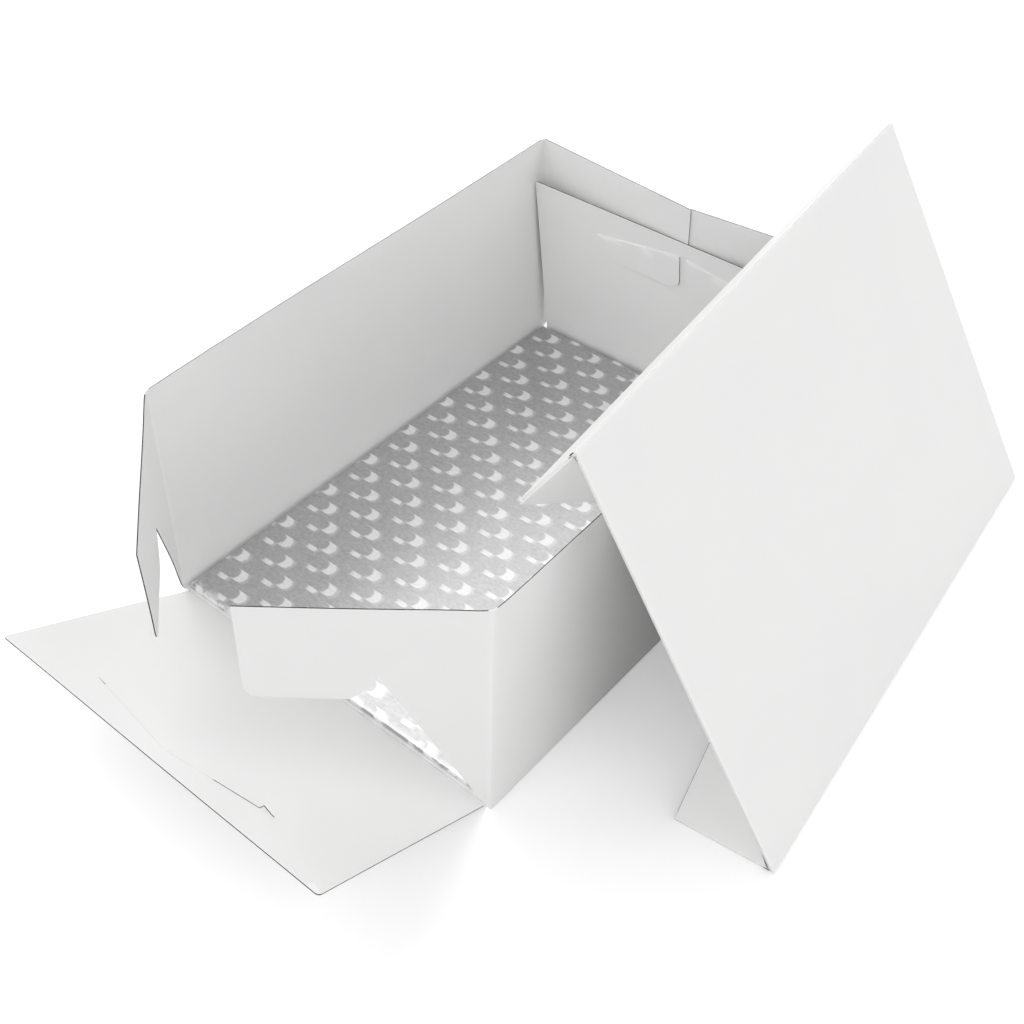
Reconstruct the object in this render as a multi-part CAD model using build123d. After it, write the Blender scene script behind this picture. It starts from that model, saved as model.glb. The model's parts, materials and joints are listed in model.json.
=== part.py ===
"""A folding-carton cake box: an open base, a foil-covered cake board and a tray lid.

The base is one sheet of boxboard. Its rear end is locked by two tabs that pass through
slits in the end panel, and its front end is open: the end panel is folded out and the
two tabbed flaps stand ajar. The lid is a second sheet with glued, folding corners. Its
rims are half folded in, and it leans on the right wall.

Millimetres. X runs to the right, Y to the rear and Z up. The origin is the centre of
the underside of the base.
"""
from build123d import *
import os
from math import acos, cos, degrees, radians, sin, sqrt, tan

# Boxboard
card = 0.6              # thickness of the folded sheet
fold_gap = 0.1          # free space beside a crease
rest_gap = 0.3          # free space between pieces that only rest on each other

# Base
box_width = 250.0       # outside
box_length = 350.0      # outside, between the creases of the end flaps
box_height = 160.0
right_wall_splay = 2.4  # degrees, outwards, at the open front end
left_wall_splay = -1.8  # degrees, at the open front end
bend_splay = -1.3       # degrees, where the left wall has a soft bend
bend_from_front = 49.0

# End flaps, hinged on the side walls
flap_end_gap = 3.5      # from a flap's free end to the middle of the box
flap_length = box_width / 2 - flap_end_gap
flap_taper = 2.0        # the top edge falls by this much towards the free end
tab_height = 92.0       # underside of the tab above the base
tab_corner = 8.0        # radius at the tab's lower free corner
notch_out = 70.0        # from the crease to where the tab's lower edge ends
notch_in = 55.2         # from the crease to the top of the notch
notch_height = 109.7
notch_sag = 1.6         # depth of the notch's curve
left_flap_angle = 41.0  # degrees open, 0 is closed
right_flap_angle = 39.0

# End panels, hinged on the bottom
panel_length = 132.0
panel_side_gap = 1.75   # from the side of the box to the panel, at its free edge
panel_crease_gap = 4.0  # the same at its crease
panel_width = box_width - 2 * panel_side_gap
panel_crease_width = box_width - 2 * panel_crease_gap
panel_corner = 2.5
front_panel_angle = 26.7    # degrees above the ground
rear_panel_lean = 4.4       # degrees, inwards
slit_centre = 121.0     # from the crease to the slits' inner ends
slit_outer = 109.5      # from the crease to the slits' outer ends
slit_start = 54.8       # from the side of the box to a slit's outer end
slit_bridge = 2.5       # card left between the two slits
slit_rest = 0.5         # width of a slit that nothing holds open
slit_open = 1.9         # width of a slit with its tab in
hook_width = 9.5        # triangular hole at a slit's outer end
hook_drop = 6.0

# Cake board
board_left_gap = 3.75   # from the outside of the left wall to the board
board_right_gap = 1.75
board_front_gap = 2.5   # from the front of the base to the board
board_rear_gap = 3.5
board_width = box_width - board_left_gap - board_right_gap
board_length = box_length - board_front_gap - board_rear_gap
board_core = 3.0        # thickness of the grey board
foil = 0.2
paper = 0.2
turn_in = 12.0          # foil turned under the edge

# Lid
lid_length = 356.0
lid_width = 257.0
rim_depth = 56.5
lid_turn = 6.2          # degrees between the lid's long edge and the box's
corner_slack = 2.0      # card cut back on each side of a corner's diagonal fold
tab_margin = 4.0        # a glue tab is this much smaller than its corner web

half_card = card / 2
side_x = box_width / 2
end_y = box_length / 2


def unit(vector):
    return vector.normalized()


def sheet(origin, along, outward, outline, layer=0.0, thickness=card):
    """A flat piece of card. The outline's x runs along the crease and its y away from it."""
    place = Plane(origin=origin, x_dir=along, z_dir=along.cross(outward))
    plate = extrude(outline, thickness / 2, both=True)
    return place.location * (Pos(0, 0, layer) * plate)


def bead(origin, along, start, end):
    """The rounded edge of a sheet on its crease."""
    place = Plane(origin=origin + along * start, z_dir=along)
    return place.location * Cylinder(
        half_card, end - start, align=(Align.CENTER, Align.CENTER, Align.MIN)
    )


def polygon(points):
    return make_face(Polyline(points, close=True))


def thick_line(points, thickness):
    """Both sides of a bent line of card, mitred at its bends, as one closed outline."""
    left, right = [], []
    for i, point in enumerate(points):
        before = unit(point - points[i - 1]) if i > 0 else None
        after = unit(points[i + 1] - point) if i + 1 < len(points) else None
        if before is None:
            before = after
        if after is None:
            after = before
        middle = unit(before + after)
        side = Vector(-middle.Y, middle.X, 0)
        reach = thickness / 2 / middle.dot(after)
        left.append(point + side * reach)
        right.append(point - side * reach)
    return left + right[::-1]


# Side walls

def wall_section(side, y, splay):
    """The wall's upright section at one place along the box, leaning by the splay."""
    lean = radians(splay)
    foot = Vector(side * side_x, y, 0)
    up = Vector(side * sin(lean), 0, cos(lean))
    inwards = Vector(-side * cos(lean), 0, sin(lean))
    top = foot + up * box_height
    return Wire.make_polygon([foot, top, top + inwards * card, foot + inwards * card])


def side_wall(side, stations):
    sections = [wall_section(side, y, splay) for y, splay in stations]
    return Solid.make_loft(sections, ruled=True)


left_wall = side_wall(-1, [
    (-end_y, left_wall_splay),
    (-end_y + bend_from_front, bend_splay),
    (end_y, 0.0),
])
right_wall = side_wall(1, [(-end_y, right_wall_splay), (end_y, 0.0)])

bottom_width = box_width - 2 * (card + fold_gap)
bottom_length = box_length - 2 * (card + fold_gap)
bottom_panel = Pos(0, 0, half_card) * Box(bottom_width, bottom_length, card)


# End flaps

def flap_outline(height):
    """The die-cut flap. x is the height on its crease, y the distance from the crease."""
    free_top = height - flap_taper
    foot = 2 * half_card
    middle = Vector((notch_height + tab_height) / 2, (notch_in + notch_out) / 2)
    across = unit(Vector(notch_out - notch_in, notch_height - tab_height))
    edge = [
        Polyline([
            (notch_height, notch_in),
            (foot, 0),
            (height, 0),
            (free_top, flap_length),
            (tab_height + tab_corner, flap_length),
        ]),
        TangentArc([
            (tab_height + tab_corner, flap_length),
            (tab_height, flap_length - tab_corner),
        ], tangent=(-1, 0)),
        Line((tab_height, flap_length - tab_corner), (tab_height, notch_out)),
        ThreePointArc(
            (tab_height, notch_out),
            middle - across * notch_sag,
            (notch_height, notch_in),
        ),
    ]
    return make_face(edge)


def front_flap(side, splay, angle):
    """A flap on the open end. Returns the flap and its crease: a point and a direction."""
    lean = radians(splay)
    up = Vector(side * sin(lean), 0, cos(lean))
    shut = Vector(-side * cos(lean), 0, sin(lean))
    foot = Vector(side * (side_x - half_card), -end_y - fold_gap - half_card, 0)
    swing = shut.rotate(Axis((0, 0, 0), tuple(up)), side * angle)
    flap = sheet(foot, up, swing, flap_outline(box_height))
    return flap + bead(foot, up, card, box_height), foot, up


front_left_flap, left_foot, left_up = front_flap(-1, left_wall_splay, left_flap_angle)
front_right_flap, right_foot, right_up = front_flap(1, right_wall_splay, right_flap_angle)


# End panels with their slits

def slit_place(across):
    """How far from the crease a slit runs, at a distance in from the side of the box."""
    share = (across - slit_start) / (side_x - slit_start)
    return slit_outer + (slit_centre - slit_outer) * share


def slit_cut(side, opening):
    """One slit and the triangular hole at its outer end."""
    outer, inner = slit_start, side_x - slit_bridge / 2
    low, high = slit_place(outer), slit_place(inner)
    slit = polygon([
        (side * (side_x - outer), low - opening / 2),
        (side * (side_x - inner), high - opening / 2),
        (side * (side_x - inner), high + opening / 2),
        (side * (side_x - outer), low + opening / 2),
    ])
    hook = polygon([
        (side * (side_x - outer), low),
        (side * (side_x - outer - hook_width), slit_place(outer + hook_width)),
        (side * (side_x - outer - hook_width), low - hook_drop),
    ])
    return slit + hook


def panel_outline(opening):
    """The end panel. x runs across the box, y away from the crease."""
    blank = polygon([
        (-panel_crease_width / 2, 0),
        (panel_crease_width / 2, 0),
        (panel_width / 2, panel_length),
        (-panel_width / 2, panel_length),
    ])
    corners = blank.vertices().sort_by(Axis.Y)[-2:]
    blank = fillet(corners, panel_corner)
    return blank - slit_cut(-1, opening) - slit_cut(1, opening)


def end_panel(end, angle, opening):
    """A panel hinged on the bottom. The angle is measured up from lying flat outside."""
    turn = radians(angle)
    crease = Vector(0, end * (end_y - half_card), half_card)
    along = Vector(-end, 0, 0)
    outward = Vector(0, end * cos(turn), sin(turn))
    panel = sheet(crease, along, outward, panel_outline(opening))
    half = panel_crease_width / 2
    return panel + bead(crease, along, -half, half)


front_end_panel = end_panel(-1, front_panel_angle, slit_rest)
rear_end_panel = end_panel(1, 90 + rear_panel_lean, slit_open)


# Locked rear flaps

def rear_panel_y(z):
    """The middle of the leaning rear panel at a height."""
    return end_y - half_card - (z - half_card) * tan(radians(rear_panel_lean))


layer_gap = card + fold_gap
tab_end_z = half_card + slit_place(flap_length) * cos(radians(rear_panel_lean))
flap_run = end_y + half_card - rear_panel_y(tab_end_z) - layer_gap


def rear_flap_y(across):
    """The middle of the flat part of a rear flap, at a distance in from the side."""
    return end_y + half_card - flap_run * across / flap_length


def tab_section(side, across):
    """The flap's upright section where its tab goes through the slit to the inside."""
    slit_z = half_card + slit_place(across) * cos(radians(rear_panel_lean))
    slit_y = rear_panel_y(slit_z)
    outside = rear_flap_y(across)
    low = tab_height - 2
    middle = [
        Vector(outside, box_height + 1),
        Vector(outside, slit_z + outside - slit_y),
        Vector(slit_y - layer_gap, slit_z - layer_gap),
        Vector(rear_panel_y(low) - layer_gap, low),
    ]
    x = side * (side_x - across)
    return Wire.make_polygon([Vector(x, p.X, p.Y) for p in thick_line(middle, card)])


def rear_flap(side):
    hinge_side = polygon([
        (side * (side_x - card), end_y),
        (side * side_x, end_y),
        (side * side_x, end_y + card),
        (side * (side_x - notch_in), rear_flap_y(notch_in) + half_card),
        (side * (side_x - notch_in), rear_flap_y(notch_in) - half_card),
    ])
    flat = extrude(hinge_side, box_height, dir=(0, 0, 1))
    tab = Solid.make_loft([
        tab_section(side, notch_in),
        tab_section(side, flap_length + 1),
    ], ruled=True)
    cutter = sheet(
        Vector(side * side_x, end_y, 0),
        Vector(0, 0, 1),
        Vector(-side, 0, 0),
        flap_outline(box_height),
        thickness=box_width / 4,
    )
    return (flat + tab) & cutter


rear_left_flap = rear_flap(-1)
rear_right_flap = rear_flap(1)


# Cake board: grey board, foil turned under its edges, and paper underneath

board_x = (board_left_gap - board_right_gap) / 2
board_y = (board_front_gap - board_rear_gap) / 2


def board_layer(width, length, low, high):
    middle = Pos(board_x, board_y, (low + high) / 2)
    return middle * Box(width, length, high - low)


board_low = card
core_low = board_low + paper
core_high = core_low + board_core
core_width = board_width - 2 * foil
core_length = board_length - 2 * foil
paper_width = board_width - 2 * turn_in
paper_length = board_length - 2 * turn_in
board_core_sheet = board_layer(core_width, core_length, core_low, core_high)
board_paper = board_layer(paper_width, paper_length, board_low, core_low)
board_foil = (
    board_layer(board_width, board_length, board_low, core_high + foil)
    - board_core_sheet
    - board_paper
)


# Lid. Its own frame has x along its length, y up the slope and z out of its face.

crease_x = lid_length / 2 - half_card
crease_y = lid_width / 2 - half_card
crease_z = -(card + fold_gap + half_card)
web_crease_x = crease_x - card - half_card  # inner face of a glue tab when the lid is up
diagonal_slack = corner_slack * sqrt(2)


def short_fold(long_fold):
    """How far the short rims fold in, in degrees, when the long rims fold by long_fold.

    The corner webs are right-angled triangles of fixed size, so one fold sets the other.
    """
    turn = radians(long_fold)
    return degrees(acos((1 - sin(turn)) / cos(turn)))


def web_frame(end, side, long_fold):
    """A corner web's crease point, and the ways down its crease, across it and outwards."""
    turn, fold = radians(long_fold), radians(short_fold(long_fold))
    down = Vector(0, -side * sin(turn), -cos(turn))
    inwards = Vector(0, -side * cos(turn), sin(turn))
    crease = Vector(end * web_crease_x, side * crease_y, crease_z)
    crease += inwards * (half_card + fold_gap)
    across = unit(
        Vector(-end * sin(fold), -side * (1 - sin(turn)), cos(turn) - cos(fold))
    )
    return crease, down, across, across.cross(down) * (end * side)


def seat_point(lean):
    """The corner of the front upper web that lies on the wall, in the lid's frame."""
    crease, down, across, outwards = web_frame(-1, 1, 90 - lean)
    tip = down * rim_depth + across * (rim_depth - diagonal_slack)
    return crease + tip + outwards * 2 * card


def seat_height(lean):
    """How high that corner is above the ground when the lid leans by this many degrees."""
    tilt = radians(lean)
    foot = crease_y * sin(tilt) - crease_z * cos(tilt) + half_card
    seat = seat_point(lean)
    return foot + seat.Y * sin(tilt) + seat.Z * cos(tilt)


def lean_of_lid():
    """The lid leans so that the fold of its short rim lies on the top of the right wall."""
    low, high = 30.0, 85.0
    for _ in range(50):
        middle = (low + high) / 2
        if seat_height(middle) < box_height + rest_gap:
            low = middle
        else:
            high = middle
    return high


lid_lean = lean_of_lid()
long_rim_fold = 90 - lid_lean       # the lower long rim lies flat on the ground
short_rim_fold = short_fold(long_rim_fold)


def lid_plane():
    """The lid's frame, with its lower edge on the ground and its rim on the wall."""
    turn, tilt = radians(lid_turn), radians(lid_lean)
    along = Vector(-sin(turn), cos(turn), 0)
    out = Vector(cos(turn) * sin(tilt), sin(turn) * sin(tilt), cos(tilt))
    up = out.cross(along)
    corner = seat_point(lid_lean)
    seat = along * corner.X + up * corner.Y + out * corner.Z
    seat_y = -end_y + seat_from_front
    splay = radians(right_wall_splay * (end_y - seat_y) / box_length)
    wall_x = side_x + box_height * sin(splay)
    height = crease_y * sin(tilt) - crease_z * cos(tilt) + half_card
    origin = Vector(wall_x + rest_gap - seat.X, seat_y - seat.Y, height)
    return Plane(origin=origin, x_dir=along, z_dir=out)


seat_from_front = 92.0   # from the front of the base to where the lid's rim rests
lid_frame = lid_plane()


def long_rim(side):
    """A long rim, side 1 above and -1 below. Returns its crease point and direction too."""
    fold = radians(long_rim_fold)
    crease = Vector(0, side * crease_y, crease_z)
    along = Vector(1, 0, 0)
    outward = Vector(0, -side * sin(fold), -cos(fold))
    half = web_crease_x
    outline = polygon([(-half, 0), (half, 0), (half, rim_depth), (-half, rim_depth)])
    rim = sheet(crease, along, outward, outline) + bead(crease, along, -half, half)
    return rim, crease, outward


def short_rim(end):
    """A short rim, end -1 at the front and 1 at the rear, with its diagonal folds."""
    fold = radians(short_rim_fold)
    crease = Vector(end * crease_x, 0, crease_z)
    along = Vector(0, 1, 0)
    outward = Vector(-end * sin(fold), 0, -cos(fold))
    base = crease_y - diagonal_slack
    outline = polygon([
        (-base, 0), (base, 0), (base - rim_depth, rim_depth), (rim_depth - base, rim_depth),
    ])
    return sheet(crease, along, outward, outline) + bead(crease, along, -base, base)


def corner(end, side):
    """The corner web, the triangle beyond the diagonal fold, and the glue tab inside it."""
    crease, down, across, _ = web_frame(end, side, long_rim_fold)
    outside = -end * side
    reach = rim_depth - diagonal_slack
    web_outline = polygon([(diagonal_slack, 0), (rim_depth, 0), (rim_depth, reach)])
    tab_depth = rim_depth - tab_margin
    tab_outline = polygon([
        (diagonal_slack + tab_margin, 0),
        (tab_depth, 0),
        (tab_depth, reach - 2 * tab_margin),
    ])
    web = sheet(crease, down, across, web_outline, layer=outside * (card + half_card))
    tab = sheet(crease, down, across, tab_outline, layer=outside * half_card)
    return web, tab


lid_top = Pos(0, 0, -half_card) * Box(lid_length, lid_width, card)
upper_long_rim, upper_crease, upper_out = long_rim(1)
lower_long_rim, lower_crease, lower_out = long_rim(-1)
front_short_rim = short_rim(-1)
rear_short_rim = short_rim(1)

pieces = {
    "base_bottom_panel": bottom_panel,
    "base_left_wall": left_wall,
    "base_right_wall": right_wall,
    "base_front_left_flap": front_left_flap,
    "base_front_right_flap": front_right_flap,
    "base_rear_left_flap": rear_left_flap,
    "base_rear_right_flap": rear_right_flap,
    "base_front_end_panel": front_end_panel,
    "base_rear_end_panel": rear_end_panel,
    "cake_board_core": board_core_sheet,
    "cake_board_foil": board_foil,
    "cake_board_paper": board_paper,
    "lid_top_panel": lid_frame.location * lid_top,
    "lid_upper_long_rim": lid_frame.location * upper_long_rim,
    "lid_lower_long_rim": lid_frame.location * lower_long_rim,
    "lid_front_short_rim": lid_frame.location * front_short_rim,
    "lid_rear_short_rim": lid_frame.location * rear_short_rim,
}
for end, end_name in ((-1, "front"), (1, "rear")):
    for side, side_name in ((1, "upper"), (-1, "lower")):
        web, tab = corner(end, side)
        pieces[f"lid_{end_name}_{side_name}_web"] = lid_frame.location * web
        pieces[f"lid_{end_name}_{side_name}_glue_tab"] = lid_frame.location * tab

os.makedirs("parts", exist_ok=True)
for name, solid in pieces.items():
    export_step(solid, f"parts/{name}.step")
print("lid leans", round(lid_lean, 2), "long rims", round(long_rim_fold, 2),
      "short rims", round(short_rim_fold, 2))
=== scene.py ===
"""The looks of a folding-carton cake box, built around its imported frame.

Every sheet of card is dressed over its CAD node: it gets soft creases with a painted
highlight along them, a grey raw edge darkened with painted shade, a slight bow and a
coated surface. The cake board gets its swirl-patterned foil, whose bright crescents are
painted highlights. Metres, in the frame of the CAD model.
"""
import json
import logging
import math
from collections.abc import Callable
from dataclasses import dataclass
from enum import Enum

import bmesh
import bpy
from mathutils import Matrix, Vector, noise

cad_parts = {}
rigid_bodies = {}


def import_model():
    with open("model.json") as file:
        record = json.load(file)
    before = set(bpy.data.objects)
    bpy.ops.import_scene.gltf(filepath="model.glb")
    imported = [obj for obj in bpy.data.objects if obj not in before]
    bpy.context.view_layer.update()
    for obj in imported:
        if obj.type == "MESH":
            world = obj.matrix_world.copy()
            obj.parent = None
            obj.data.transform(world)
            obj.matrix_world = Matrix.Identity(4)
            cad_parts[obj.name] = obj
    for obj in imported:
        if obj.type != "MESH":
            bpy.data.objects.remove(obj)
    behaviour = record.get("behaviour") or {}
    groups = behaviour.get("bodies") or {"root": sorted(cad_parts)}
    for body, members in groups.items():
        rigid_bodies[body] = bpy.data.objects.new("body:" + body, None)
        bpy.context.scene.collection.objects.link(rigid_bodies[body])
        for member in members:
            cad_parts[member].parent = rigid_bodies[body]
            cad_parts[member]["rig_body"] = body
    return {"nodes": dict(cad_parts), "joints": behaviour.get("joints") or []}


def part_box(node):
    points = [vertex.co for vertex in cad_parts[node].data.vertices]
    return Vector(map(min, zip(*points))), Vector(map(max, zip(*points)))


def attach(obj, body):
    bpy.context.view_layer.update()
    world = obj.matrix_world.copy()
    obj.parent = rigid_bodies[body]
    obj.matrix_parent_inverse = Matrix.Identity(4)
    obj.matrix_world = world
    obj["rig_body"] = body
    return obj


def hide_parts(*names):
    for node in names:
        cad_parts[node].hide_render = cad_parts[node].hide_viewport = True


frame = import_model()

log = logging.getLogger("cake_box")

MM = 0.001
NODE_SPACING = 170
FOLD = "fold"  # the attribute that says how near a vertex is to a fold
RIM = "rim"  # the attribute that says where the foil is crumpled

Colour = tuple[float, float, float, float]
Span = tuple[float, float]
Socket = bpy.types.NodeSocket
Value = Socket | float | Colour


class Slot(Enum):
    """The record's material slots."""

    BOARD = "boxboard"
    CORE = "grey_board"
    FOIL = "silver_foil"
    PAPER = "backing_paper"


@dataclass(frozen=True)
class Grain:
    """A noise pattern.

    Attributes:
        scale: How fine it is.
        detail: How many finer layers it has.
        roughness: How strong those layers are.
    """

    scale: float
    detail: float
    roughness: float


@dataclass(frozen=True)
class PaperTooth:
    """The grain that all the papers share.

    Attributes:
        mottle: Its soft clouds.
        fibre: Its finest fibres.
        fibre_share: Their part in its height.
        tooth: Its coarser tooth.
        tooth_share: The tooth's part in its height.
        depth: Its height.
        strength: How strongly it tilts the light.
    """

    mottle: Grain = Grain(14.0, 4.0, 0.6)
    fibre: Grain = Grain(900.0, 2.0, 0.7)
    fibre_share: float = 0.4
    tooth: Grain = Grain(260.0, 3.0, 0.6)
    tooth_share: float = 0.6
    depth: float = 0.04 * MM
    strength: float = 0.35


@dataclass(frozen=True)
class BoardFinish:
    """Clay-coated white boxboard. A span says where a pattern starts and is full.

    Attributes:
        light: Colour of the coated surface.
        cloud: The slightly darker tone of its soft mottling.
        cloud_span: Where the mottling starts and is full.
        cloud_share: How strongly it shows.
        scuff: Colour of its small rub marks.
        scuff_grain: Their pattern.
        scuff_span: Where a rub mark starts and is full.
        scuff_share: How strongly it shows.
        folded: Paler colour along a fold, a painted highlight that stands in for the light
            on its rounded crease.
        fold_highlight_share: How strongly it shows.
        roughness: Least roughness of the coating.
        rough_range: How much rougher the mottling makes it.
        specular: Strength of its sheen.
        edge: Colour where the card is cut: its grey core, darkened to near black with
            painted shade so that the cut edges show as dark outlines.
        edge_pale: Paler fibres in the cut edge.
        edge_grain: Their pattern.
        edge_span: Where a fibre starts and is full.
        edge_roughness: Roughness of the cut edge.
        edge_specular: Strength of its sheen.
    """

    light: Colour = (0.835, 0.835, 0.83, 1.0)
    cloud: Colour = (0.81, 0.81, 0.81, 1.0)
    cloud_span: Span = (0.35, 0.7)
    cloud_share: float = 0.45
    scuff: Colour = (0.62, 0.62, 0.61, 1.0)
    scuff_grain: Grain = Grain(60.0, 6.0, 0.75)
    scuff_span: Span = (0.73, 0.80)
    scuff_share: float = 0.35
    # painted highlight: paler colour along the folds, for the light on their rounded
    # creases
    folded: Colour = (0.88, 0.88, 0.875, 1.0)
    fold_highlight_share: float = 0.5
    roughness: float = 0.44
    rough_range: float = 0.16
    specular: float = 0.3
    # painted shade: near black, darker than the grey core itself
    edge: Colour = (0.025, 0.025, 0.026, 1.0)
    edge_pale: Colour = (0.09, 0.088, 0.086, 1.0)
    edge_grain: Grain = Grain(300.0, 4.0, 0.7)
    edge_span: Span = (0.4, 0.75)
    edge_roughness: float = 0.95
    edge_specular: float = 0.1


@dataclass(frozen=True)
class Crescent:
    """One kind of crescent of painted highlight in the foil. Its lengths are millimetres.

    Attributes:
        half: Half the height of the strip that shows it.
        outer_ahead: How far its outer arc's centre lies ahead of its place.
        outer: Radius of its outer arc.
        inner: Radius of its inner arc.
        inner_back: How far the inner arc's centre lies behind its place.
        horn_start: Where its horns fade out, from its place.
        horn_end: Where they are fully bright.
    """

    half: float
    outer_ahead: float
    outer: float
    inner: float
    inner_back: float
    horn_start: float
    horn_end: float


@dataclass(frozen=True)
class FoilFinish:
    """Engine-turned silver foil, whose swirls show as crescents of painted highlight. The
    pattern's lengths are millimetres.

    Attributes:
        dull: Colour of the foil between its swirls.
        dull_pale: The paler tone of its brushed grain.
        dull_span: Where that tone starts and is full.
        bright: Colour of the painted highlight in the swirls and on the crumples.
        pitch: Distance between two swirls of one row.
        row: Distance between two rows.
        shift: How far each row is moved along from the one behind it.
        tilt: Turn of the whole pattern, in degrees.
        start: Place of one large swirl.
        small_place: Place of a small swirl from its large one.
        large: The large crescents.
        small: The small ones between two rows of large ones.
        strip_soft: Half the soft border between their strips.
        wrap_from: Where a repeat of a row starts, as a share of the pitch.
        wobble: Pattern of the slight unevenness of the rows.
        wobble_reach: Its size.
        outer_soft: Half the soft border of a crescent's outer arc.
        inner_span: The soft border of its inner arc.
        horn_lean: Slant of the line where its horns fade.
        halo: Reach of the faint rings of painted highlight around a crescent.
        halo_span: Where the rings start at its outer arc.
        halo_ahead: Where they start ahead of its centre.
        halo_level: Their brightness.
        halo_ripple: How much it changes from ring to ring.
        ring: Distance between two of those rings.
        ripple: How much they change the crescent itself.
        brush_scale: The brushed grain's fineness along, across and through the foil.
        brush: The brushed grain.
        clouds: The cloudy tone under it.
        highlight_streak_span: Where the brushed grain streaks a swirl's painted highlight.
        highlight_streak_share: How strongly it does.
        crumple: Pattern of the crumpled border.
        crumple_span: Where a painted glint on a crumple starts and is full.
        crumple_share: Brightness of those painted glints.
        crumple_depth: Depth of the crumples.
        crumple_strength: How strongly they tilt the light.
        diffuse: How much less of a metal the painted highlight is, so that it shows bright
            in any light.
        roughness: Least roughness of the foil.
        rough_range: How much rougher its grain makes it.
        groove_depth: Depth of the rings' grooves.
        groove_strength: How strongly they tilt the light.
    """

    dull: Colour = (0.45, 0.45, 0.455, 1.0)
    dull_pale: Colour = (0.60, 0.60, 0.605, 1.0)
    dull_span: Span = (0.3, 0.7)
    # painted highlight: colour of the swirls' crescents and of the crumples' glints
    bright: Colour = (0.96, 0.96, 0.965, 1.0)
    pitch: float = 38.15
    row: float = 12.93
    shift: float = 12.6
    tilt: float = 1.2
    start: tuple[float, float] = (-52.7, -43.7)
    small_place: tuple[float, float] = (-10.6, -6.46)
    large: Crescent = Crescent(4.65, -0.3, 4.8, 4.3, 6.4, -9.5, -1.0)
    small: Crescent = Crescent(1.85, 2.6, 2.4, 1.8, 4.6, -6.5, 1.0)
    strip_soft: float = 0.2
    wrap_from: float = -0.4
    wobble: Grain = Grain(0.5, 2.0, 0.5)
    wobble_reach: float = 1.2
    outer_soft: float = 0.7
    inner_span: Span = (-0.5, 0.9)
    horn_lean: float = 0.35
    halo: float = 3.2
    halo_span: Span = (-0.6, 0.3)
    halo_ahead: Span = (0.2, 1.5)
    halo_level: float = 0.36
    halo_ripple: float = 0.08
    ring: float = 1.4
    ripple: float = 0.04
    brush_scale: tuple[float, float, float] = (300.0, 1300.0, 400.0)
    brush: Grain = Grain(1.0, 3.0, 0.6)
    clouds: Grain = Grain(420.0, 4.0, 0.65)
    highlight_streak_span: Span = (0.25, 0.6)
    highlight_streak_share: float = 0.25
    crumple: Grain = Grain(90.0, 4.0, 0.6)
    crumple_span: Span = (0.48, 0.60)
    crumple_share: float = 0.9
    crumple_depth: float = 1.0 * MM
    crumple_strength: float = 0.45
    diffuse: float = 0.6
    roughness: float = 0.30
    rough_range: float = 0.16
    groove_depth: float = 0.02 * MM
    groove_strength: float = 0.2


@dataclass(frozen=True)
class CoreFinish:
    """The grey board inside the cake board.

    Attributes:
        light: Its colour.
        fleck: Colour of its darker flecks.
        grain: Their pattern.
        span: Where a fleck starts and is full.
        roughness: Its roughness.
    """

    light: Colour = (0.36, 0.35, 0.33, 1.0)
    fleck: Colour = (0.22, 0.215, 0.21, 1.0)
    grain: Grain = Grain(500.0, 5.0, 0.8)
    span: Span = (0.45, 0.75)
    roughness: float = 0.92


@dataclass(frozen=True)
class PaperFinish:
    """The white paper on the cake board's underside.

    Attributes:
        light: Its colour.
        cloud: The darker tone of its mottling.
        roughness: Its roughness.
    """

    light: Colour = (0.80, 0.80, 0.79, 1.0)
    cloud: Colour = (0.73, 0.73, 0.72, 1.0)
    roughness: float = 0.8


@dataclass(frozen=True)
class FloorFinish:
    """The studio's pale floor.

    Attributes:
        dark: Its darker tone.
        light: Its lighter tone.
        grain: How the two mix.
        fill: Brightness that it adds for the camera alone.
    """

    dark: Colour = (0.78, 0.78, 0.78, 1.0)
    light: Colour = (0.80, 0.80, 0.80, 1.0)
    grain: Grain = Grain(3.0, 2.0, 0.5)
    fill: float = 0.28


@dataclass(frozen=True)
class Crease:
    """A fold line between two points of the rest pose.

    Attributes:
        start: One end.
        end: The other end.
    """

    start: Vector
    end: Vector

    def along(self) -> Vector:
        """The unit vector along the fold."""
        return (self.end - self.start).normalized()

    def foot(self, point: Vector) -> Vector:
        """Finds the place on the fold that is nearest to a point.

        Args:
            point: The point.

        Returns:
            The place.
        """
        along = self.end - self.start
        share = (point - self.start).dot(along) / along.length_squared
        return self.start + along * min(1.0, max(0.0, share))

    def distance(self, point: Vector) -> float:
        """How far a point is from the fold."""
        return (point - self.foot(point)).length


@dataclass(frozen=True)
class Bow:
    """How a sheet departs from flat.

    Attributes:
        roll: How far its middle stands out over its folds.
        reach: Width over which it rolls down to a fold.
        wave: Height of its gentle waves.
        hold: Width of the border along a fold where it has no waves.
        cut_lean: A face counts as a cut edge below this share of facing outwards.
    """

    roll: float = 0.0
    reach: float = 4 * MM
    wave: float = 0.0
    hold: float = 25 * MM
    cut_lean: float = 0.92


@dataclass(frozen=True)
class Lamp:
    """A far, wide lamp.

    Attributes:
        name: Its name.
        towards: The direction in which it stands.
        strength: Its strength.
        width: How wide it looks, in degrees.
    """

    name: str
    towards: tuple[float, float, float]
    strength: float
    width: float = 60.0


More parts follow.
